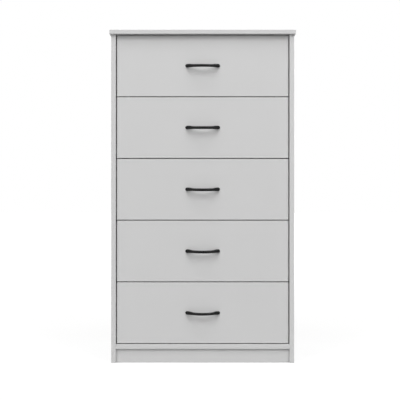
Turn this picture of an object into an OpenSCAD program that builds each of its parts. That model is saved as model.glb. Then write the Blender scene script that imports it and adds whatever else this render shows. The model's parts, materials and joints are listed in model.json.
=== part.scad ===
// Tall chest of drawers: a laminated board cabinet with five equal drawers
// on roller runners. Millimetres, +Z up, the drawers open towards -Y.
// The origin is on the floor, in the middle of the whole object's outline.

/* [Cabinet] */
// Width of the top board, the widest piece
overall_w = 610; // [450:1:900]
// Height from the floor to the top of the top board
overall_h = 1091; // [900:1:1400]
// Depth from the top board's front edge to the back panel's outer face
body_d = 400; // [380:1:500]
// Thickness of the laminated boards, apart from the top board
board_t = 15; // [15:1:18]
// Thickness of the top board
top_t = 13; // [13:1:18]
// How far the top board stands out past each side board
top_overhang_side = 5; // [0:1:20]
// How far the top board stands out past the side boards' front edges
top_overhang_front = 8; // [0:1:20]
// Thickness of the back panel
back_t = 3; // [2.5:0.5:4]
// Rim that the back panel leaves uncovered at the sides, top and bottom
back_rim = 2; // [1:1:5]

/* [Plinth] */
// Height of the bottom board's underside
plinth_h = 46; // [40:1:80]
// How far the front plinth board is set back from the side boards' edges
plinth_recess = 7; // [0:1:40]
// How far the rear plinth board stands in from the back panel
rear_plinth_inset = 30; // [10:1:80]
// Gap between the plinth boards and the bottom board
plinth_gap = 1; // [0:0.5:2]
// How far the bottom board is set back from the side boards' edges
bottom_recess = 1; // [0:0.5:8]

/* [Drawers] */
// Number of drawers
drawer_count = 5; // [4:1:5]
// Gap round each drawer front
front_gap = 3; // [2:0.5:4]
// How far the drawer fronts are set back from the side boards' edges
front_recess = 7; // [0:1:12]
// Length of a drawer box's sides, and of the runners
box_d = 350; // [320:10:350]
// Height of a drawer box's sides
box_h = 140; // [100:5:150]
// Height of the box above the lower edge of its front
box_lift = 20; // [20:1:30]
// Thickness of the drawer box's sides and back
box_t = 12; // [12:1:15]
// Thickness of the drawer bottom
bottom_t = 3; // [2.5:0.5:4]
// Height of the drawer bottom's groove above the box's lower edge
groove_lift = 8; // [6:1:12]
// Depth of the grooves that hold the drawer bottom
groove_d = 5; // [4:1:6]
// How far a drawer slides out before its rollers meet the stops
drawer_travel = 260; // [200:5:265]

/* [Handles] */
// Distance between a handle's two screws
handle_pitch = 96; // [64:32:128]
// How far a handle stands out from its drawer front
handle_reach = 26; // [22:1:32]
// Length of the foot at each end of a handle
foot_l = 18; // [14:1:20]
// Height of a handle's foot
foot_h = 11.4; // [10:0.2:13]
// Thickness of a handle's foot, away from the drawer front
foot_t = 7; // [4:0.5:8]
// Height of the handle's bow
bow_h = 9.4; // [8:0.2:11]
// Thickness of the handle's bow, front to back
bow_t = 6.4; // [5:0.2:8]
// Angle in degrees that the bow dips below level towards its middle
bow_dip = 6; // [0:1:10]

/* [Runners] */
// Gap between a drawer box's side and the side board
runner_gap = 12.5; // [12.5:0.1:13]
// Thickness of the runners' sheet steel
steel_t = 1.2; // [1:0.1:1.5]
// Diameter of the nylon rollers
roller_dia = 18; // [16:0.5:20]
// Width of a roller's tread
roller_w = 7; // [6:0.5:8]
// Diameter of the rivet that a roller turns on
axle_dia = 5; // [4:0.5:6]
// Running clearance between a roller and the steel above or below it
roller_clear = 0.3; // [0.3:0.1:0.6]
// Distance from a runner's end to its roller's centre
roller_inset = 14; // [12:1:20]

/* [Hidden] */
$fn = 48;

// Cabinet, left to right
half_w = overall_w / 2;
side_x = half_w - top_overhang_side;
inner_x = side_x - board_t;

// Cabinet, front to back
handle_past_top = handle_reach - front_recess - top_overhang_front;
handle_front_y = -(body_d + handle_past_top) / 2;
back_y = -handle_front_y;
rear_y = back_y - back_t;
top_front_y = handle_front_y + handle_past_top;
side_front_y = top_front_y + top_overhang_front;
face_y = side_front_y + front_recess;
front_rear_y = face_y + board_t;

// Cabinet, floor to top
bottom_z = plinth_h + board_t;
under_top_z = overall_h - top_t;
opening_h = under_top_z - bottom_z;
front_h = (opening_h - (drawer_count + 1) * front_gap) / drawer_count;
drawers = [1 : drawer_count];

// Drawer box
box_x = inner_x - runner_gap;
box_inner_x = box_x - box_t;
box_rear_y = front_rear_y + box_d;
floor_lift = groove_lift + bottom_t;

// Runners: heights above the lower edge of the cabinet runner
axle_z = steel_t + roller_clear + roller_dia / 2;
track_z = axle_z + roller_dia / 2 + roller_clear;
runner_h = track_z + steel_t;
roller_x = box_x + 2.9;
roller_out_x = roller_x + roller_w;
front_axle_y = front_rear_y + roller_inset;
rear_axle_y = box_rear_y - roller_inset;
axle_clear = 0.05;
rivet_head_t = 0.9;
rivet_head_r = 4;
rivet_gap = 0.15;
lip_w = 4.2;
lip_gap = 0.6;
track_rim = 1;
under_flange_w = 12;
stop_h = 3;
stop_l = 3;
roller_at_stop = sqrt(pow(roller_dia / 2, 2) - pow(axle_z - steel_t - stop_h, 2));
stop_y = rear_axle_y - drawer_travel - roller_at_stop - roller_clear;

// Fasteners
cam_h = 9.5;
cam_r = 6;
cabinet_cam_h = 12;
cabinet_cam_r = 7.5;
bolt_r = 2.5;
bolt_reach = 24;
bolt_bite = 10;
slot_w = 1.4;
slot_d = 1;
euro_r = 2.5;
euro_l = 11;
euro_head_r = 4;
wood_screw_r = 1.75;
wood_head_r = 3.5;
wood_head_t = 2;
handle_screw_r = 2;
handle_hole_r = 2.5;
pan_head_r = 4;
pan_head_t = 2.5;
nail_r = 0.8;
nail_head_r = 2.2;
nail_head_t = 0.6;
nail_l = 18;
runner_screw_places = [40, 168, 296];
runner_screw_inset = 4.1;

function per_drawer(name) = [for (n = drawers) str("drawer_", n, "_", name)];

// Drawer 1 is the top one.
function front_z(n) = bottom_z + front_gap + (drawer_count - n) * (front_h + front_gap);
function box_z(n) = front_z(n) + box_lift;
function runner_z(n) = box_z(n) - steel_t;

// A block between two opposite corners
module block(from, to) {
    translate(from)
        cube(to - from);
}

// The same thing on the right and, mirrored, on the left
module both_sides() {
    children();
    mirror([1, 0, 0])
        children();
}

// A rod along +X from the origin
module rod_x(r, l) {
    rotate([0, 90, 0])
        cylinder(r = r, h = l);
}

// A rod along +Y from the origin
module rod_y(r, l) {
    rotate([-90, 0, 0])
        cylinder(r = r, h = l);
}

// A countersunk screw that points along +X, its head flush at the origin
module countersunk_screw(r, l, head_r, head_t) {
    rotate([0, 90, 0])
        rotate_extrude()
            polygon([[0, 0], [head_r, 0], [r, head_t], [r, l], [0, l]]);
}

// A cam along -X, its face at the origin, with a cross slot unless it cuts a pocket
module cam(r, h, slotted) {
    slot_r = r * 0.7;
    difference() {
        translate([-h, 0, 0])
            rod_x(r, h);
        if (slotted) {
            block([-slot_d, -slot_r, -slot_w / 2], [1, slot_r, slot_w / 2]);
            block([-slot_d, -slot_w / 2, -slot_r], [1, slot_w / 2, slot_r]);
        }
    }
}

// Cabinet boards

module top_panel() {
    color("gainsboro")
        difference() {
            block([-half_w, top_front_y, under_top_z], [half_w, rear_y, overall_h]);
            cabinet_joints(slotted = false);
            back_nails();
        }
}

module side_panel() {
    color("gainsboro")
        difference() {
            block([inner_x, side_front_y, 0], [side_x, rear_y, under_top_z]);
            cabinet_joints(slotted = false);
            cabinet_screws();
            back_nails();
        }
}

module right_side_panel() {
    side_panel();
}

module left_side_panel() {
    mirror([1, 0, 0])
        side_panel();
}

module bottom_panel() {
    front_y = side_front_y + bottom_recess;
    color("gainsboro")
        difference() {
            block([-inner_x, front_y, plinth_h], [inner_x, rear_y, bottom_z]);
            cabinet_joints(slotted = false);
            back_nails();
        }
}

module plinth_boards() {
    front_y = side_front_y + plinth_recess;
    rear_board_y = rear_y - rear_plinth_inset;
    top_z = plinth_h - plinth_gap;
    color("lightgray")
        difference() {
            union() {
                block([-inner_x, front_y, 0], [inner_x, front_y + board_t, top_z]);
                block([-inner_x, rear_board_y - board_t, 0], [inner_x, rear_board_y, top_z]);
            }
            cabinet_joints(slotted = false);
        }
}

module back_panel() {
    x = side_x - back_rim;
    color("whitesmoke")
        difference() {
            block([-x, rear_y, plinth_h + back_rim], [x, back_y, overall_h - back_rim]);
            back_nails();
        }
}

// Cabinet fasteners

// Each joint is a bolt and a cam. The boards are cut by the same joints, unslotted.

// A bolt out of the top board, and its cam in the inner face of a side board
module top_joint(y, slotted) {
    cam_z = under_top_z - bolt_reach;
    mid_x = inner_x + board_t / 2;
    translate([inner_x, y, cam_z])
        mirror([1, 0, 0])
            cam(cabinet_cam_r, cabinet_cam_h, slotted);
    translate([mid_x, y, cam_z + cabinet_cam_r])
        cylinder(r = bolt_r, h = bolt_reach - cabinet_cam_r + bolt_bite);
}

// A bolt out of a side board, and its cam in the underside of the bottom board
module bottom_joint(y, slotted) {
    cam_x = inner_x - bolt_reach;
    translate([cam_x, y, plinth_h])
        rotate([0, 90, 0])
            cam(cabinet_cam_r, cabinet_cam_h, slotted);
    translate([cam_x + cabinet_cam_r, y, plinth_h + board_t / 2])
        rod_x(bolt_r, bolt_reach - cabinet_cam_r + bolt_bite);
}

// The same in a plinth board, whose cam is in the face at y, on the dir side
module plinth_joint(y, dir, slotted) {
    cam_x = inner_x - bolt_reach;
    z = plinth_h / 2;
    translate([cam_x, y, z])
        rotate([0, 0, dir * 90])
            cam(cabinet_cam_r, cabinet_cam_h, slotted);
    translate([cam_x + cabinet_cam_r, y - dir * board_t / 2, z])
        rod_x(bolt_r, bolt_reach - cabinet_cam_r + bolt_bite);
}

module cabinet_joints(slotted) {
    end_inset = 50;
    both_sides() {
        for (y = [side_front_y + end_inset, rear_y - end_inset]) {
            top_joint(y, slotted);
            bottom_joint(y + (y < 0 ? 1 : -1) * end_inset / 2, slotted);
        }
        plinth_joint(side_front_y + plinth_recess + board_t, 1, slotted);
        plinth_joint(rear_y - rear_plinth_inset - board_t, -1, slotted);
    }
}

module cabinet_cam_locks() {
    color("silver")
        cabinet_joints(slotted = true);
}

// Euro screws, their heads flush with the cabinet runners' webs
module cabinet_screws() {
    color("silver")
        both_sides()
            for (n = drawers, y = runner_screw_places)
                translate([inner_x - steel_t, front_rear_y + y, runner_z(n) + axle_z])
                    euro_screw();
}

module euro_screw() {
    rod_x(euro_head_r, steel_t);
    rod_x(euro_r, steel_t + euro_l);
}

// One nail that points along -Y, its head flush with the back panel
module nail() {
    translate([0, back_y - nail_head_t, 0])
        rod_y(nail_head_r, nail_head_t);
    translate([0, back_y - nail_l, 0])
        rod_y(nail_r, nail_l);
}

module back_nails() {
    rows = 9;
    columns = 4;
    rim = 30;
    low_z = bottom_z + rim;
    step_z = (under_top_z - rim - low_z) / (rows - 1);
    step_x = inner_x * 2 / (columns + 1);
    color("silver") {
        both_sides()
            for (i = [0 : rows - 1])
                translate([inner_x + board_t / 2, 0, low_z + i * step_z])
                    nail();
        for (i = [1 : columns], z = [plinth_h + board_t / 2, overall_h - top_t / 2])
            translate([-inner_x + i * step_x, 0, z])
                nail();
    }
}

// Runners

// Right cabinet runner of drawer n: a web with a lower track and a short upper lip.
// A low stop across the track holds back the roller of an open drawer.
module cabinet_runner(n) {
    y0 = front_rear_y;
    y1 = front_rear_y + box_d;
    translate([0, 0, runner_z(n)])
        difference() {
            union() {
                block([inner_x - steel_t, y0, 0], [inner_x, y1, runner_h]);
                block([roller_x - track_rim, y0, 0], [inner_x, y1, steel_t]);
                block([inner_x - lip_w, y0, track_z], [inner_x, y1, runner_h]);
                block([roller_x - track_rim, stop_y - stop_l, 0], [inner_x, stop_y, steel_t + stop_h]);
                translate([0, front_axle_y, axle_z])
                    rivet(inner_x);
            }
            for (y = runner_screw_places)
                translate([inner_x - steel_t - 1, front_rear_y + y, axle_z])
                    rod_x(euro_head_r, steel_t + 2);
        }
}

// The rivet that a roller turns on, from the plate at from_x through the roller
module rivet(from_x) {
    inward = from_x > roller_x;
    head_x = inward ? roller_x - rivet_gap - rivet_head_t : roller_out_x + rivet_gap;
    low_x = min(from_x, head_x);
    high_x = max(from_x, head_x + rivet_head_t);
    translate([low_x, 0, 0])
        rod_x(axle_dia / 2, high_x - low_x);
    translate([head_x, 0, 0])
        rod_x(rivet_head_r, rivet_head_t);
}

module cabinet_runners() {
    color("white")
        both_sides()
            for (n = drawers)
                cabinet_runner(n);
}

// Right drawer runner: a web on the box side, a flange under it and a track above
module drawer_runner(n) {
    y0 = front_rear_y;
    y1 = front_rear_y + box_d;
    web_x = box_x + steel_t;
    translate([0, 0, runner_z(n)])
        difference() {
            union() {
                block([box_x, y0, 0], [web_x, y1, runner_h]);
                block([box_x - under_flange_w, y0, 0], [web_x, y1, steel_t]);
                block([box_x, y0, track_z], [inner_x - lip_w - lip_gap, y1, runner_h]);
                translate([0, rear_axle_y, axle_z])
                    rivet(box_x);
            }
            for (y = runner_screw_places)
                runner_screw_at(y)
                    countersunk_screw(wood_screw_r, box_t, wood_head_r, wood_head_t);
        }
}

// Puts a +X screw under the box side, pointing up, at y along the runner. It passes
// between the side's outer face and the groove for the drawer bottom.
module runner_screw_at(y) {
    translate([box_x - runner_screw_inset, front_rear_y + y, 0])
        rotate([0, -90, 0])
            children();
}

// Both rollers on one axle line
module roller_pair(n, y) {
    color("ivory")
        both_sides()
            translate([roller_x, y, runner_z(n) + axle_z])
                roller();
}

module roller() {
    holes = 6;
    hole_r = 0.8;
    hole_ring_r = (roller_dia / 2 + axle_dia / 2) / 2;
    difference() {
        rod_x(roller_dia / 2, roller_w);
        translate([-1, 0, 0])
            rod_x(axle_dia / 2 + axle_clear, roller_w + 2);
        for (i = [1 : holes])
            rotate([i * 360 / holes, 0, 0])
                translate([-1, 0, hole_ring_r])
                    rod_x(hole_r, roller_w + 2);
    }
}

// Drawers

module drawer_front(n) {
    x = inner_x - front_gap;
    z = front_z(n);
    color("gainsboro")
        difference() {
            block([-x, face_y, z], [x, front_rear_y, z + front_h]);
            drawer_groove(n);
            drawer_joints(n, slotted = false);
            both_sides()
                translate([handle_pitch / 2, face_y - 1, handle_z(n)])
                    rod_y(handle_hole_r, board_t + 2);
        }
}

function handle_z(n) = front_z(n) + front_h / 2;

// The space that the drawer bottom fills, grooves and all
module drawer_groove(n) {
    x = box_inner_x + groove_d;
    z = box_z(n) + groove_lift;
    block([-x, front_rear_y - groove_d, z], [x, box_rear_y, z + bottom_t]);
}

module drawer_sides(n) {
    z = box_z(n);
    color("white")
        difference() {
            both_sides()
                block([box_inner_x, front_rear_y, z], [box_x, box_rear_y, z + box_h]);
            drawer_groove(n);
            drawer_joints(n, slotted = false);
            drawer_box_screws(n);
        }
}

module drawer_back(n) {
    z = box_z(n);
    x = box_inner_x;
    color("white")
        difference() {
            block([-x, box_rear_y - box_t, z + floor_lift], [x, box_rear_y, z + box_h]);
            drawer_box_screws(n);
        }
}

module drawer_bottom(n) {
    color("whitesmoke")
        drawer_groove(n);
}

// Two cams in each box side and their bolts in the front
module drawer_joints(n, slotted) {
    rim = 32;
    cam_y = front_rear_y + bolt_reach;
    both_sides()
        for (z = [box_z(n) + rim, box_z(n) + box_h - rim]) {
            translate([box_inner_x, cam_y, z])
                mirror([1, 0, 0])
                    cam(cam_r, cam_h, slotted);
            translate([box_inner_x + box_t / 2, front_rear_y - bolt_bite, z])
                rod_y(bolt_r, bolt_bite + bolt_reach - cam_r);
        }
}

module drawer_cam_locks(n) {
    color("silver")
        drawer_joints(n, slotted = true);
}

// Screws through the box sides into the back, and up through the runners
module drawer_box_screws(n) {
    rim = 32;
    screw_l = 35;
    both_sides() {
        for (z = [box_z(n) + rim, box_z(n) + box_h - rim])
            translate([box_x, box_rear_y - box_t / 2, z])
                mirror([1, 0, 0])
                    countersunk_screw(wood_screw_r, screw_l, wood_head_r, wood_head_t);
        translate([0, 0, runner_z(n)])
            for (y = runner_screw_places)
                runner_screw_at(y)
                    countersunk_screw(wood_screw_r, box_t, wood_head_r, wood_head_t);
    }
}

module handle_screws(n) {
    grip = foot_t - 1;
    both_sides() {
        translate([handle_pitch / 2, face_y - grip, handle_z(n)])
            rod_y(handle_screw_r, board_t + grip);
        translate([handle_pitch / 2, front_rear_y, handle_z(n)])
            rod_y(pan_head_r, pan_head_t);
    }
}

module drawer_screws(n) {
    color("silver") {
        drawer_box_screws(n);
        handle_screws(n);
    }
}

// A round-ended foot against the drawer front, centred over its screw
module handle_foot() {
    straight = foot_l - foot_h;
    rotate([90, 0, 0]) {
        translate([-straight / 2, -foot_h / 2, 0])
            cube([straight, foot_h, foot_t]);
        for (x = [-straight / 2, straight / 2])
            translate([x, 0, 0])
                cylinder(d = foot_h, h = foot_t);
    }
}

// The bow is an arc that rises from the feet to the handle's full reach. Its plane
// dips from level by bow_dip about the line between the feet.
bow_rise = handle_reach - bow_t / 2 - foot_t / 2;
bow_chord = handle_pitch / 2;
bow_r = (bow_chord * bow_chord + bow_rise * bow_rise) / (2 * bow_rise);
bow_angle = asin(bow_chord / bow_r);

module handle_bow() {
    straight = bow_h - bow_t;
    translate([0, -foot_t / 2, 0])
        rotate([bow_dip, 0, 0])
            translate([0, bow_r - bow_rise, 0])
                rotate([0, 0, -90 - bow_angle])
                    rotate_extrude(angle = 2 * bow_angle, $fn = 96)
                        translate([bow_r, 0]) {
                            translate([-bow_t / 2, -straight / 2])
                                square([bow_t, straight]);
                            for (z = [-straight / 2, straight / 2])
                                translate([0, z])
                                    circle(d = bow_t);
                        }
}

module drawer_handle(n) {
    color("black")
        difference() {
            translate([0, face_y, handle_z(n)]) {
                handle_bow();
                both_sides()
                    translate([handle_pitch / 2, 0, 0])
                        handle_foot();
            }
            handle_screws(n);
            block([-half_w, face_y, handle_z(n) - foot_h], [half_w, 0, handle_z(n) + foot_h]);
        }
}

module drawer_runners(n) {
    color("white")
        both_sides()
            drawer_runner(n);
}

// Nodes

top_panel();
left_side_panel();
right_side_panel();
bottom_panel();
plinth_boards();
back_panel();
cabinet_runners();
cabinet_cam_locks();
cabinet_screws();
back_nails();
for (n = drawers) {
    drawer_front(n);
    drawer_sides(n);
    drawer_back(n);
    drawer_bottom(n);
    drawer_handle(n);
    drawer_screws(n);
    drawer_cam_locks(n);
    drawer_runners(n);
    roller_pair(n, rear_axle_y);
    roller_pair(n, front_axle_y);
}
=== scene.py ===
import json
import math

import bmesh
import bpy
from mathutils import Matrix, Vector


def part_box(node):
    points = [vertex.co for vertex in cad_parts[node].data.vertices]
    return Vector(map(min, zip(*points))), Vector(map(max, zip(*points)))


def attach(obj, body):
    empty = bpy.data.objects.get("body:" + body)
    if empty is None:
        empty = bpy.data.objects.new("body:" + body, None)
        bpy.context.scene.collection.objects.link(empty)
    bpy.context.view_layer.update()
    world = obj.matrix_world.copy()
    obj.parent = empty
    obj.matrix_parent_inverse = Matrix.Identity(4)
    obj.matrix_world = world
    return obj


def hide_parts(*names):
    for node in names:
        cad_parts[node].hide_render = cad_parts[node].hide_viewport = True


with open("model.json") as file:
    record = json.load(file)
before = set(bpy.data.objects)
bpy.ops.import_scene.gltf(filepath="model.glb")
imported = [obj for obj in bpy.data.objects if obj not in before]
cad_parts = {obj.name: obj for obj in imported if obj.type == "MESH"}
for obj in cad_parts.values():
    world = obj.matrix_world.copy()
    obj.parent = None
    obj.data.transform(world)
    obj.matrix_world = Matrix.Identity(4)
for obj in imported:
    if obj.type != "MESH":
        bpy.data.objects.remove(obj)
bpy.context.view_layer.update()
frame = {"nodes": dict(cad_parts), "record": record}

scene = bpy.context.scene
cadNodes = frame["nodes"]
bodyOf = {name: body for body, names in frame["record"]["behaviour"]["bodies"].items() for name in names}
drawerNumbers = range(1, 6)
tiny = 1e-5        # metres; closer than this is the same place
flat = math.radians(0.5)      # faces that meet at less than this are one face


# Camera

camera = {
    "distance": 2.7,       # in front of the top board's front edge
    "height": 0.5344,      # about the middle of the chest
    "aside": -0.00874,     # the chest stands a little right of centre
    "lens": 74.36,
    "sensorWidth": 36.0,
    "farthest": 100,
}


def makeCamera(look):
    data = bpy.data.cameras.new("camera")
    data.lens = look["lens"]
    data.sensor_width = look["sensorWidth"]
    data.clip_end = look["farthest"]
    eye = bpy.data.objects.new("camera", data)
    eye.location = (look["aside"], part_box("top_panel")[0].y - look["distance"], look["height"])
    eye.rotation_euler = (math.radians(90), 0, 0)
    scene.collection.objects.link(eye)
    scene.camera = eye


makeCamera(camera)
print("camera placed")


# Shader maths: a socket that can take part in an expression

class Value:
    def __init__(self, recipe, socket):
        self.recipe = recipe
        self.socket = socket

    def maths(self, operation, first, second):
        return self.recipe.value("ShaderNodeMath", "Value", {"operation": operation}, {0: first, 1: second})

    def __add__(self, other):
        return self.maths("ADD", self, other)

    def __radd__(self, other):
        return self.maths("ADD", other, self)

    def __sub__(self, other):
        return self.maths("SUBTRACT", self, other)

    def __rsub__(self, other):
        return self.maths("SUBTRACT", other, self)

    def __mul__(self, other):
        return self.maths("MULTIPLY", self, other)

    def __rmul__(self, other):
        return self.maths("MULTIPLY", other, self)

    def __gt__(self, other):
        return self.maths("GREATER_THAN", self, other)

    def __lt__(self, other):
        return self.maths("LESS_THAN", self, other)


class Recipe:
    def __init__(self, tree):
        self.tree = tree
        tree.nodes.clear()

    def node(self, kind, settings, sockets):
        made = self.tree.nodes.new(kind)
        for name, setting in settings.items():
            setattr(made, name, setting)
        for name, given in sockets.items():
            socket = made.inputs[name] if isinstance(name, int) else self.socketOf(made.inputs, name)
            if isinstance(given, Value):
                self.tree.links.new(given.socket, socket)
            else:
                socket.default_value = given
        return made

    def socketOf(self, sockets, name):
        live = (socket for socket in sockets if socket.enabled)
        return next(socket for socket in live if name in (socket.name, socket.identifier))

    def value(self, kind, output, settings, sockets):
        made = self.node(kind, settings, sockets)
        return Value(self, self.socketOf(made.outputs, output))

    def place(self, stretch=(1, 1, 1)):
        point = self.value("ShaderNodeTexCoord", "Object", {}, {})
        if stretch == (1, 1, 1):
            return point
        return self.value("ShaderNodeMapping", "Vector", {}, {"Vector": point, "Scale": stretch})

    def axis(self, letter):
        return self.value("ShaderNodeSeparateXYZ", letter, {}, {"Vector": self.place()})

    def noise(self, scale, detail=2, stretch=(1, 1, 1)):
        sockets = {"Vector": self.place(stretch), "Scale": scale, "Detail": detail}
        return self.value("ShaderNodeTexNoise", "Fac", {}, sockets)

    def cells(self, scale):
        return self.value("ShaderNodeTexVoronoi", "Distance", {}, {"Vector": self.place(), "Scale": scale})

    def ramp(self, given, low, high):
        sockets = {"Value": given, "From Min": low, "From Max": high}
        return self.value("ShaderNodeMapRange", "Result", {"clamp": True}, sockets)

    def mix(self, factor, first, second):
        sockets = {"Factor": factor, "A_Color": first, "B_Color": second}
        for name in ("A_Color", "B_Color"):
            if not isinstance(sockets[name], Value):
                sockets[name] = (*sockets[name], 1)
        return self.value("ShaderNodeMix", "Result_Color", {"data_type": "RGBA"}, sockets)

    def bump(self, height, depth):
        sockets = {"Height": height, "Distance": depth, "Strength": 1.0}
        return self.value("ShaderNodeBump", "Normal", {}, sockets)


def paint(name, fixed, changing, cover=None):
    material = bpy.data.materials.new(name)
    material.use_nodes = True
    recipe = Recipe(material.node_tree)
    sockets = dict(fixed)
    sockets.update(changing(recipe))
    surface = recipe.value("ShaderNodeBsdfPrincipled", "BSDF", {}, sockets)
    if cover:
        surface = cover(recipe, surface)
    recipe.node("ShaderNodeOutputMaterial", {}, {"Surface": surface})
    return material


# Finishes

def shade(colour, amount):
    return tuple(part * amount for part in colour)


# Scales are in patches, pebbles, grains and so on per metre, depths in metres.

laminate = {
    "colour": (0.592, 0.592, 0.592),
    "patchScale": 7,
    "patches": 0.015,        # how much lighter and darker the patches get
    "roughness": 0.44,
    "dulling": 0.08,         # how much rougher it gets in places
    "dullScale": 23,
    "pebble": 1100,
    "pebbleDepth": 0.00002,
    "refraction": 1.5,
}
boxFoil = dict(laminate, colour=(0.74, 0.74, 0.73), roughness=0.5, pebble=1500)


def laminateFinish(look, name):
    def changing(recipe):
        dark, light = 1 - look["patches"], 1 + look["patches"]
        patches = recipe.noise(look["patchScale"], 3)
        pebble = recipe.noise(look["pebble"])
        return {
            "Base Color": recipe.mix(patches, shade(look["colour"], dark), shade(look["colour"], light)),
            "Roughness": look["roughness"] + look["dulling"] * recipe.noise(look["dullScale"], 3),
            "Normal": recipe.bump(pebble, look["pebbleDepth"]),
        }
    return paint(name, {"IOR": look["refraction"]}, changing)


hardboard = {
    "face": (0.72, 0.72, 0.70),
    "faceRoughness": 0.55,
    "raw": (0.35, 0.215, 0.12),
    "rawDark": (0.25, 0.145, 0.078),
    "rawRoughness": 0.8,
    "rawDepth": 0.001,       # how far the raw side's brown shows on the edges
    "grain": 900,            # grains of pressed pulp
    "grainShare": 0.65,      # of the grain in the raw tone; broad clouds have the rest
    "cloudScale": 9,
    "toneRange": (0.34, 0.66),
    "paleFibre": 150,        # curls of the pale and of the dark fibres
    "darkFibre": 230,
    "fibreShare": 0.4,
    "paleShade": 1.35,
    "darkShade": 0.65,
    "fibreWidth": 0.0009,
    "fibreDepth": 0.00008,
    "refraction": 1.45,
}


def hardboardFinish(look, name, isRaw):
    def changing(recipe):
        def fibres(curls):      # a noise passes its middle value along thin, curly lines
            away = recipe.noise(curls, 4) - 0.5
            return recipe.ramp(away * away, look["fibreWidth"], 0)

        grain = recipe.noise(look["grain"], 3)
        clouds = recipe.noise(look["cloudScale"], 4)
        pale, dark = fibres(look["paleFibre"]), fibres(look["darkFibre"])
        tone = look["grainShare"] * grain + (1 - look["grainShare"]) * clouds
        brown = recipe.mix(recipe.ramp(tone, *look["toneRange"]), look["rawDark"], look["raw"])
        brown = recipe.mix(look["fibreShare"] * pale, brown, shade(look["raw"], look["paleShade"]))
        brown = recipe.mix(look["fibreShare"] * dark, brown, shade(look["rawDark"], look["darkShade"]))
        raw = isRaw(recipe)
        rougher = look["rawRoughness"] - look["faceRoughness"]
        return {
            "Base Color": recipe.mix(raw, look["face"], brown),
            "Roughness": look["faceRoughness"] + rougher * raw,
            "Normal": recipe.bump((grain + pale) * raw, look["fibreDepth"]),
        }
    return paint(name, {"IOR": look["refraction"]}, changing)


blackCoat = {
    "colour": (0.004, 0.004, 0.0044),
    "shades": (0.8, 1.35),
    "roughness": 0.42,
    "dulling": 0.1,
    "dullScale": 60,
    "grain": 2600,
    "grainDepth": 0.00003,
    "refraction": 1.38,
}


def blackCoatFinish(look, name):
    def changing(recipe):
        dull = recipe.noise(look["dullScale"], 3)
        darker, lighter = (shade(look["colour"], amount) for amount in look["shades"])
        return {
            "Base Color": recipe.mix(dull, darker, lighter),
            "Roughness": look["roughness"] + look["dulling"] * dull,
            "Normal": recipe.bump(recipe.noise(look["grain"]), look["grainDepth"]),
        }
    return paint(name, {"IOR": look["refraction"]}, changing)


whiteCoat = {
    "colour": (0.76, 0.76, 0.75),
    "roughness": 0.3,
    "peel": 260,             # orange peel of the sprayed coat
    "peelDepth": 0.00004,
    "rubScale": 38,
    "rubStretch": (1, 0.08, 1),      # the rollers rub along the runners
    "rubRange": (0.52, 0.7),
    "rubShade": 0.9,
    "rubRoughness": 0.14,
    "refraction": 1.5,
}


def whiteCoatFinish(look, name):
    def changing(recipe):
        rub = recipe.ramp(recipe.noise(look["rubScale"], 5, look["rubStretch"]), *look["rubRange"])
        return {
            "Base Color": recipe.mix(rub, look["colour"], shade(look["colour"], look["rubShade"])),
            "Roughness": look["roughness"] + look["rubRoughness"] * rub,
            "Normal": recipe.bump(recipe.noise(look["peel"]), look["peelDepth"]),
        }
    return paint(name, {"IOR": look["refraction"]}, changing)


nylon = {
    "colour": (0.79, 0.775, 0.72),
    "flowShade": 0.96,
    "roughness": 0.42,
    "flowRoughness": 0.12,
    "flow": 140,             # flow marks from the mould
    "flowDepth": 0.00004,
    "refraction": 1.53,
}


def nylonFinish(look, name):
    def changing(recipe):
        flow = recipe.noise(look["flow"], 3)
        return {
            "Base Color": recipe.mix(flow, shade(look["colour"], look["flowShade"]), look["colour"]),
            "Roughness": look["roughness"] + look["flowRoughness"] * flow,
            "Normal": recipe.bump(flow, look["flowDepth"]),
        }
    return paint(name, {"IOR": look["refraction"]}, changing)


zincPlate = {
    "colour": (0.62, 0.63, 0.65),
    "hazeShade": 0.85,
    "haze": 90,
    "roughness": 0.28,
    "hazeRoughness": 0.16,
    "spangle": 2200,
    "spangleDepth": 0.000006,
}
zincCasting = dict(zincPlate, colour=(0.50, 0.50, 0.51), roughness=0.5, spangle=800, spangleDepth=0.00003)


def zincFinish(look, name):
    def changing(recipe):
        haze = recipe.noise(look["haze"], 4)
        return {
            "Base Color": recipe.mix(haze, shade(look["colour"], look["hazeShade"]), look["colour"]),
            "Roughness": look["roughness"] + look["hazeRoughness"] * haze,
            "Normal": recipe.bump(recipe.cells(look["spangle"]), look["spangleDepth"]),
        }
    return paint(name, {"Metallic": 1.0}, changing)


laminateMaterial = laminateFinish(laminate, "greyLaminate")
boxMaterial = laminateFinish(boxFoil, "whiteFoil")
blackMaterial = blackCoatFinish(blackCoat, "blackCoat")
steelMaterial = whiteCoatFinish(whiteCoat, "whiteCoat")
nylonMaterial = nylonFinish(nylon, "nylon")
screwMaterial = zincFinish(zincPlate, "zincPlate")
camMaterial = zincFinish(zincCasting, "zincCasting")
print("finishes mixed")


# Pieces

def dress(piece, material):
    piece.data.materials.clear()
    piece.data.materials.append(material)


def addPiece(name, bm, material, body):
    mesh = bpy.data.meshes.new(name)
    bm.to_mesh(mesh)
    bm.free()
    piece = bpy.data.objects.new(name, mesh)
    scene.collection.objects.link(piece)
    dress(piece, material)
    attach(piece, body)
    return piece


def eachOnce(items):      # in a fixed order, so that every run makes the same mesh
    return list(dict.fromkeys(items))


def solidsOf(bm):
    solids, found = [], set()
    for first in bm.verts:
        if first in found:
            continue
        found.add(first)
        solid = [first]
        for vert in solid:      # the list grows while it is read
            for edge in vert.link_edges:
                other = edge.other_vert(vert)
                if other not in found:
                    found.add(other)
                    solid.append(other)
        solids.append(solid)
    return solids


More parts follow.
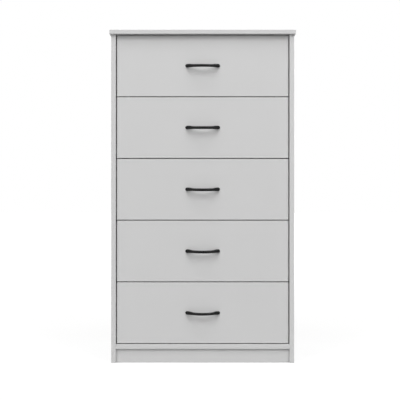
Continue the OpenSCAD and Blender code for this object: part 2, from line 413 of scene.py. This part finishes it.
def boxRim(solid):
    low = [min(vert.co[axis] for vert in solid) for axis in range(3)]
    high = [max(vert.co[axis] for vert in solid) for axis in range(3)]

    def walls(vert):
        sides = set()
        for axis in range(3):
            if abs(vert.co[axis] - low[axis]) < tiny:
                sides.add((axis, 0))
            if abs(vert.co[axis] - high[axis]) < tiny:
                sides.add((axis, 1))
        return sides

    edges = eachOnce(edge for vert in solid for edge in vert.link_edges)
    return [edge for edge in edges if len(walls(edge.verts[0]) & walls(edge.verts[1])) == 2]


def mergedCopy(node):
    bm = bmesh.new()
    bm.from_mesh(cadNodes[node].data)
    bmesh.ops.remove_doubles(bm, verts=bm.verts[:], dist=tiny)
    bmesh.ops.dissolve_limit(bm, angle_limit=flat, verts=bm.verts[:], edges=bm.edges[:])
    return bm


def roundEdges(bm, edges, radius, segments):
    bmesh.ops.bevel(bm, geom=edges, offset=radius, offset_type="OFFSET", segments=segments,
                    profile=0.5, affect="EDGES", material=-1, clamp_overlap=True)


def roundedBoard(node, look, material):
    bm = mergedCopy(node)
    rim = [edge for solid in solidsOf(bm) for edge in boxRim(solid)]
    roundEdges(bm, rim, look["radius"], look["segments"])
    board = addPiece("visual_" + node, bm, material, bodyOf[node])
    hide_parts(node)


boardEdge = {"radius": 0.0004, "segments": 3}

for node in ("top_panel", "left_side_panel", "right_side_panel", "bottom_panel", "plinth_boards"):
    roundedBoard(node, boardEdge, laminateMaterial)
for number in drawerNumbers:
    roundedBoard(f"drawer_{number}_front", boardEdge, laminateMaterial)
    for part in ("sides", "back"):
        roundedBoard(f"drawer_{number}_{part}", boardEdge, boxMaterial)
print("boards rounded")


# Handles: one bar, swept from a foot over the bow to the other foot

handle = {
    "screwPitch": 0.096,
    "reach": 0.026,          # from the drawer front to the bow's outer face
    "dip": 6,                # degrees that the bow dips towards its middle
    "bow": (0.0094, 0.0064),     # height and thickness in the middle
    "foot": (0.0114, 0.007),     # height and thickness over the screws
    "footLength": 0.018,
    "footStart": 0.62,       # where the bar starts to widen, from the middle to a screw
    "footFull": 0.92,        # where it is as wide as the foot
    "turn": 0.0035,          # how softly the foot turns into the bow
    "tipTaper": 0.5,         # how much thinner the feet get towards their tips
    "tipThickness": 0.4,     # what the rounding leaves of the thickness at the very tip
    "dipStart": 0.75,        # where the dip ends, from the middle to a screw
    "flattened": 0.0008,     # how much the feet are flattened against the front
    "stations": 64,
    "ringPoints": 24,
    "sharp": math.radians(50),
}


def smoothStep(t):
    t = min(max(t, 0), 1)
    return t * t * (3 - 2 * t)


def handleStation(look, t):      # t runs from -1 at one end to 1 at the other
    nearby = 0.0002      # metres, for the slope
    smallest = 0.002     # keeps the end rings open
    bowHeight, bowThickness = look["bow"]
    footHeight, footThickness = look["foot"]
    chord = look["screwPitch"] / 2
    half = chord + look["footLength"] / 2
    rise = look["reach"] - bowThickness
    radius = (chord * chord + rise * rise) / (2 * rise)

    def lift(at):
        arc = math.sqrt(radius * radius - at * at) - (radius - rise)
        return (arc + math.sqrt(arc * arc + look["turn"] ** 2)) / 2

    x = half * math.sin(t * math.pi / 2)
    scale = rise / lift(0)
    slope = (lift(x + nearby) - lift(x - nearby)) / (2 * nearby) * scale
    foot = smoothStep((abs(x) / chord - look["footStart"]) / (look["footFull"] - look["footStart"]))
    pastRound = max((abs(x) - half) / (footHeight / 2) + 1, 0)
    roundness = math.sqrt(max(1 - pastRound * pastRound, smallest))
    tall = (bowHeight + (footHeight - bowHeight) * foot) * roundness
    tip = smoothStep((abs(x) - chord) / (half - chord))
    thick = bowThickness + (footThickness - bowThickness) * foot
    thick *= look["tipThickness"] + (1 - look["tipThickness"]) * roundness
    thick *= 1 - look["tipTaper"] * tip
    place = Matrix.Translation((x, look["flattened"] * foot - thick / 2 - lift(x) * scale, 0))
    turn = Matrix.Rotation(math.atan2(-slope, 1), 4, "Z")
    return place @ turn @ Matrix.Diagonal((1, thick / 2, tall / 2, 1))


def makeHandle(number, look):
    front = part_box(f"drawer_{number}_front")
    bm = bmesh.new()
    ring = bmesh.ops.create_circle(bm, cap_ends=True, segments=look["ringPoints"], radius=1)["verts"]
    bmesh.ops.rotate(bm, verts=ring, matrix=Matrix.Rotation(math.radians(90), 3, "Y"))
    last = handleStation(look, -1)
    bmesh.ops.transform(bm, matrix=last, verts=ring)
    cap = ring[0].link_faces[0]
    for index in range(1, look["stations"] + 1):
        station = handleStation(look, 2 * index / look["stations"] - 1)
        wholeCap = [cap, *cap.edges, *cap.verts]      # the face alone would stay behind in the bar
        grown = bmesh.ops.extrude_face_region(bm, geom=wholeCap)["geom"]
        ring = [item for item in grown if isinstance(item, bmesh.types.BMVert)]
        cap = next(item for item in grown if isinstance(item, bmesh.types.BMFace))
        bmesh.ops.transform(bm, matrix=station @ last.inverted(), verts=ring)
        last = station
    pivot = Matrix.Translation((0, -look["foot"][1] / 2, 0))
    dip = pivot @ Matrix.Rotation(math.radians(look["dip"]), 4, "X") @ pivot.inverted()
    chord = look["screwPitch"] / 2
    for vert in bm.verts:
        amount = 1 - smoothStep((abs(vert.co.x) / chord - look["dipStart"]) / (1 - look["dipStart"]))
        vert.co = vert.co.lerp(dip @ vert.co, amount)
    bmesh.ops.bisect_plane(bm, geom=bm.verts[:] + bm.edges[:] + bm.faces[:], dist=tiny / 100,
                           plane_co=(0, 0, 0), plane_no=(0, 1, 0), clear_outer=True)
    bmesh.ops.holes_fill(bm, edges=[edge for edge in bm.edges if edge.is_boundary], sides=0)
    middle = (front[0] + front[1]) / 2
    bmesh.ops.translate(bm, verts=bm.verts[:], vec=(middle.x, front[0].y, middle.z))
    bmesh.ops.remove_doubles(bm, verts=bm.verts[:], dist=tiny / 10)
    bmesh.ops.recalc_face_normals(bm, faces=bm.faces[:])
    for face in bm.faces:
        face.smooth = True
    piece = addPiece(f"bow_handle_{number}", bm, blackMaterial, f"drawer_{number}")
    piece.data.set_sharp_from_angle(angle=look["sharp"])
    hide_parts(f"drawer_{number}_handle")


for number in drawerNumbers:
    makeHandle(number, handle)
print("handles swept")


# Screws: a cross recess in each head, and rounded heads on the handle screws

screwHead = {
    "recess": 0.72,          # half the length of the cross, as a share of the head's flat radius
    "recessDepth": 0.45,     # as a share of the same radius
    "recessTaper": 0.5,
    "rounding": 0.0011,      # of the handle screws' heads
    "roundingSegments": 4,
    "turn": 37,              # degrees from one screw to the next
    "sharp": math.radians(30),
}


def faceAt(bm, place):
    return min(bm.faces, key=lambda face: (face.calc_center_median() - place).length)


def cutRecess(bm, cap, look, turn):
    centre = cap.calc_center_median()
    outwards = cap.normal.copy()
    radius = (cap.verts[0].co - centre).length
    bmesh.ops.delete(bm, geom=[cap], context="FACES_ONLY")
    mouth = bmesh.ops.create_grid(bm, x_segments=3, y_segments=3, size=radius * look["recess"])["verts"]
    corners = [vert for vert in mouth if len(vert.link_edges) == 2]
    bmesh.ops.delete(bm, geom=corners, context="VERTS")
    mouth = [vert for vert in mouth if vert.is_valid]
    cross = eachOnce(face for vert in mouth for face in vert.link_faces)
    grown = bmesh.ops.extrude_face_region(bm, geom=cross)["geom"]
    bottom = [item for item in grown if isinstance(item, bmesh.types.BMVert)]
    bmesh.ops.delete(bm, geom=[face for face in cross if face.is_valid], context="FACES")
    bmesh.ops.scale(bm, verts=bottom, vec=(look["recessTaper"], look["recessTaper"], 1))
    bmesh.ops.translate(bm, verts=bottom, vec=(0, 0, -radius * look["recessDepth"]))
    facing = outwards.to_track_quat("Z", "Y").to_matrix().to_4x4()
    seat = Matrix.Translation(centre) @ facing @ Matrix.Rotation(turn, 4, "Z")
    bmesh.ops.transform(bm, matrix=seat, verts=mouth + bottom)
    openEdges = [edge for edge in bm.edges if edge.is_boundary]      # the head's rim and the cross
    bmesh.ops.triangle_fill(bm, use_beauty=True, edges=openEdges, normal=outwards)


def crossScrews(node, look):
    bm = mergedCopy(node)
    heads = []
    for screw in solidsOf(bm):
        faces = eachOnce(face for vert in screw for face in vert.link_faces)
        heads.append(max(faces, key=lambda face: face.calc_area()).calc_center_median())
    for index, head in enumerate(heads):
        cap = faceAt(bm, head)
        facesFrontOrBack = abs(cap.normal.y) > 0.5
        if facesFrontOrBack:      # only the handle screws do
            roundEdges(bm, cap.edges[:], look["rounding"], look["roundingSegments"])
            cap = faceAt(bm, head)
        cutRecess(bm, cap, look, math.radians(look["turn"] * index))
    bmesh.ops.recalc_face_normals(bm, faces=bm.faces[:])
    for face in bm.faces:
        face.smooth = len(face.verts) == 4      # the triangles that close a head stay flat
    piece = addPiece("visual_" + node, bm, screwMaterial, bodyOf[node])
    piece.data.set_sharp_from_angle(angle=look["sharp"])
    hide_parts(node)


crossScrews("cabinet_screws", screwHead)
for number in drawerNumbers:
    crossScrews(f"drawer_{number}_screws", screwHead)
print("screws recessed")


# The rest of the CAD pieces keep their shape and get their finish

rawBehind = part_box("back_panel")[1].y - hardboard["rawDepth"]
backMaterial = hardboardFinish(hardboard, "backHardboard", lambda recipe: recipe.axis("Y") > rawBehind)
dress(cadNodes["back_panel"], backMaterial)
dress(cadNodes["back_nails"], screwMaterial)
dress(cadNodes["cabinet_cam_locks"], camMaterial)
dress(cadNodes["cabinet_runners"], steelMaterial)
for number in drawerNumbers:
    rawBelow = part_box(f"drawer_{number}_bottom")[0].z + hardboard["rawDepth"]
    bottomMaterial = hardboardFinish(hardboard, f"bottomHardboard_{number}",
                                     lambda recipe, level=rawBelow: recipe.axis("Z") < level)
    dress(cadNodes[f"drawer_{number}_bottom"], bottomMaterial)
    dress(cadNodes[f"drawer_{number}_cam_locks"], camMaterial)
    dress(cadNodes[f"drawer_{number}_runners"], steelMaterial)
    dress(cadNodes[f"drawer_{number}_rollers"], nylonMaterial)
    dress(cadNodes[f"cabinet_rollers_{number}"], nylonMaterial)
print("fittings finished")


# Floor and light

stage = {
    "floorSize": 60,
    "floorColour": (0.5, 0.5, 0.5),
    "floorMottle": 0.99,
    "mottleScale": 3,
    "floorRoughness": 0.9,
    "floorGlow": 1.25,       # makes the floor look as white as the backdrop
    "glowShare": (0.68, 1.0),    # close to the chest, and far from it
    "glowReach": (1.5, 4.0),     # metres over which the share changes
    "backdrop": 0.04,        # how much the white backdrop lights the chest
}
lampAim = (0, -0.2, 0.55)      # the middle of the drawer fronts
lampDistance = 12
lamps = {
    "frontSoftbox": {"azimuths": (0,), "elevation": 56, "size": (4.8, 2.6), "power": 67},
    "sideSoftbox": {"azimuths": (-40, 40), "elevation": 39, "size": (4.8, 6.1), "power": 680},
    "highSoftbox": {"azimuths": (-40, 40), "elevation": 68, "size": (4.8, 2.6), "power": 318},
    "flankSoftbox": {"azimuths": (-100, 100), "elevation": 10, "size": (4.8, 3.6), "power": 210},
    "rearSoftbox": {"azimuths": (-150, 150), "elevation": 12, "size": (4.8, 3.6), "power": 330},
}


def makeFloor(look):
    bm = bmesh.new()
    bmesh.ops.create_grid(bm, x_segments=1, y_segments=1, size=look["floorSize"] / 2)
    mesh = bpy.data.meshes.new("floor")
    bm.to_mesh(mesh)
    bm.free()
    floor = bpy.data.objects.new("floor", mesh)
    scene.collection.objects.link(floor)

    def changing(recipe):
        mottled = shade(look["floorColour"], look["floorMottle"])
        spots = recipe.noise(look["mottleScale"])
        return {"Base Color": recipe.mix(spots, mottled, look["floorColour"])}

    def glow(recipe, surface):
        seen = recipe.value("ShaderNodeLightPath", "Is Camera Ray", {}, {})
        white = recipe.value("ShaderNodeEmission", "Emission", {}, {"Strength": look["floorGlow"]})
        away = recipe.value("ShaderNodeVectorMath", "Value", {"operation": "LENGTH"}, {0: recipe.place()})
        near, far = look["glowShare"]
        share = (near + (far - near) * recipe.ramp(away, *look["glowReach"])) * seen
        return recipe.value("ShaderNodeMixShader", "Shader", {}, {0: share, 1: surface, 2: white})

    dress(floor, paint("paleFloor", {"Roughness": look["floorRoughness"]}, changing, glow))


def makeLamps(name, look):
    for azimuth in look["azimuths"]:
        data = bpy.data.lights.new(name, "AREA")
        data.shape = "RECTANGLE"
        data.size, data.size_y = look["size"]
        data.energy = look["power"]
        lamp = bpy.data.objects.new(name, data)
        raised = Matrix.Rotation(math.radians(-look["elevation"]), 3, "X") @ Vector((0, -lampDistance, 0))
        away = Matrix.Rotation(math.radians(azimuth), 3, "Z") @ raised
        lamp.location = Vector(lampAim) + away
        lamp.rotation_euler = away.to_track_quat("Z", "Y").to_euler()
        scene.collection.objects.link(lamp)


def makeBackdrop(look):
    world = bpy.data.worlds.new("studio")
    world.use_nodes = True
    recipe = Recipe(world.node_tree)
    seen = recipe.value("ShaderNodeLightPath", "Is Camera Ray", {}, {})
    strength = look["backdrop"] + (1 - look["backdrop"]) * seen
    sockets = {"Color": (1, 1, 1, 1), "Strength": strength}
    sky = recipe.value("ShaderNodeBackground", "Background", {}, sockets)
    recipe.node("ShaderNodeOutputWorld", {}, {"Surface": sky})
    scene.world = world


makeFloor(stage)
makeBackdrop(stage)
for name, look in lamps.items():
    makeLamps(name, look)
scene.view_settings.view_transform = "Standard"
print("stage lit")
